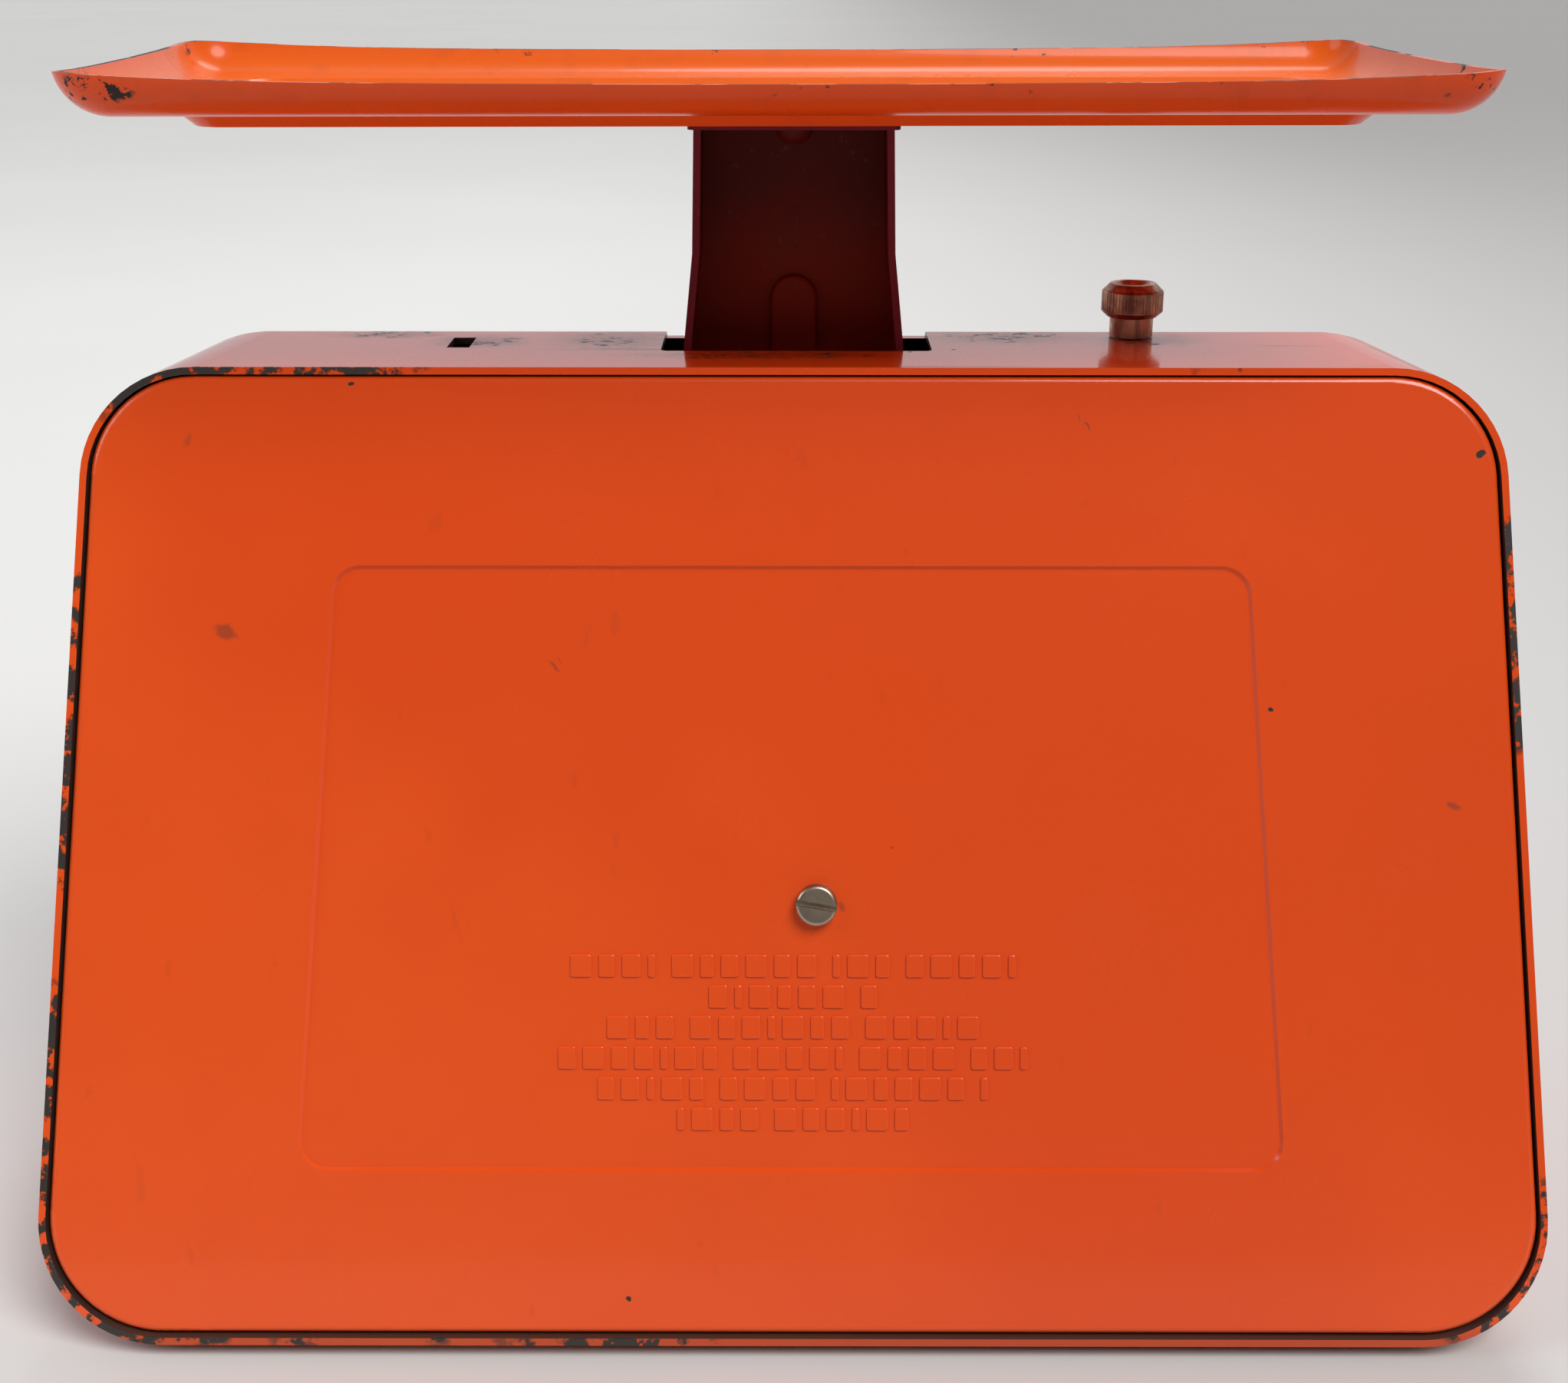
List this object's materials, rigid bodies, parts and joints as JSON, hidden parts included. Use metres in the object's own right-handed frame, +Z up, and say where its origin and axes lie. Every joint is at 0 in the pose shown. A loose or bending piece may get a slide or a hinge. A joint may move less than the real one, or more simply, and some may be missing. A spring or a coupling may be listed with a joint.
{
  "type": "kitchen scale",
  "caption": "Mechanical spring kitchen scale: a lacquered wedge-shaped metal casing, a pressed tray on a channel stem, a zero knob and a fan-shaped dial behind a window.",
  "frame": {"origin": "centre of the bounding box at the underside of the rubber feet", "axes": "+Z up, +X along the width, +Y from the dial side towards the back cover"},
  "size_m": [0.24, 0.1108, 0.1968],
  "materials": {
    "orange_lacquer": "glossy stoving lacquer, worn through to dark steel on the rims",
    "stem_lacquer": "dark maroon lacquer",
    "zinc_steel": "dull zinc plate",
    "nickel_steel": "aged nickel plate",
    "spring_steel": "oiled spring steel",
    "aged_brass": "tarnished",
    "needle_lacquer": "satin black",
    "clear_lens": "clear and polished",
    "frame_plastic": "satin",
    "dial_enamel": "satin",
    "black_rubber": "matte"
  },
  "bodies": {
    "casing": {"casing_shell": "orange_lacquer", "back_cover": "orange_lacquer", "back_cover_screw": "nickel_steel", "cover_screw_bracket": "zinc_steel", "cover_weld_nut": "zinc_steel", "chassis_base": "zinc_steel", "chassis_rivets": "zinc_steel", "chassis_upright": "zinc_steel", "upright_screws": "nickel_steel", "upper_frame_pin": "nickel_steel", "lower_frame_pin": "nickel_steel", "frame_pin_clips": "spring_steel", "main_spring": "spring_steel", "pointer_bracket": "zinc_steel", "pointer_bracket_screw": "nickel_steel", "window_bezel": "nickel_steel", "window_lens": "clear_lens", "dial_frame": "frame_plastic", "dial_plate": "dial_enamel", "dial_screws": "nickel_steel", "adjuster_bracket": "zinc_steel", "foot_front_left": "black_rubber", "foot_front_right": "black_rubber", "foot_rear_left": "black_rubber", "foot_rear_right": "black_rubber"},
    "platform": {"stem_channel": "stem_lacquer", "stem_carrier": "zinc_steel", "carrier_rivets": "zinc_steel", "tray_support_plate": "stem_lacquer", "support_plate_lugs": "stem_lacquer", "tray": "orange_lacquer", "tray_rivet": "stem_lacquer", "rack": "aged_brass", "rack_block": "zinc_steel", "rack_rivets": "zinc_steel"},
    "upper_lever_body": {"upper_lever": "zinc_steel", "upper_lever_sleeve": "zinc_steel", "upper_stem_pin": "nickel_steel", "upper_stem_pin_clip": "spring_steel"},
    "lower_lever_body": {"lower_lever": "zinc_steel", "lower_lever_sleeve": "zinc_steel", "lower_stem_pin": "nickel_steel", "lower_stem_pin_clip": "spring_steel", "spring_pin": "nickel_steel"},
    "pointer": {"pointer_arbor": "nickel_steel", "pinion": "aged_brass", "needle_collar": "aged_brass", "pointer_needle": "needle_lacquer", "pointer_cap": "nickel_steel"},
    "adjuster": {"zero_knob": "aged_brass", "zero_screw": "nickel_steel", "zero_screw_collar": "aged_brass"},
    "hanger": {"spring_hanger": "zinc_steel", "hanger_pin": "nickel_steel"}
  },
  "joints": [
    {"name": "platform_slide", "type": "slide", "parent": "casing", "child": "platform", "axis": [0, 0, -1], "range_m": [0, 0.01], "stiffness_N_per_m": 4900, "springref_m": -0.00062},
    {"name": "upper_lever_pivot", "type": "hinge", "parent": "casing", "child": "upper_lever_body", "pos_m": [0.0618, -0.012, 0.112], "axis": [0, -1, 0], "range_deg": [0, 9.3]},
    {"name": "lower_lever_pivot", "type": "hinge", "parent": "casing", "child": "lower_lever_body", "pos_m": [0.0618, -0.012, 0.062], "axis": [0, -1, 0], "range_deg": [0, 9.3], "deforming": ["main_spring"]},
    {"name": "pointer_spin", "type": "hinge", "parent": "casing", "child": "pointer", "pos_m": [0, -0.03365, 0.04072], "axis": [0, 0.9785, -0.206], "range_deg": [0, 150]},
    {"name": "zero_knob_turn", "type": "hinge", "parent": "casing", "child": "adjuster", "pos_m": [-0.0566, -0.0167, 0.155], "axis": [0, 0, 1], "range_deg": [-360.96, 360.96]},
    {"name": "hanger_slide", "type": "slide", "parent": "casing", "child": "hanger", "axis": [0, 0, 1], "range_m": [-0.0007, 0.0007], "deforming": ["main_spring"]}
  ],
  "couplings": [
    {"joint": "upper_lever_pivot", "follows": "platform_slide", "rad_per_m": 16.146},
    {"joint": "lower_lever_pivot", "follows": "platform_slide", "rad_per_m": 16.146},
    {"joint": "pointer_spin", "follows": "platform_slide", "rad_per_m": 260.95},
    {"joint": "zero_knob_turn", "follows": "hanger_slide", "rad_per_m": -8976}
  ]
}
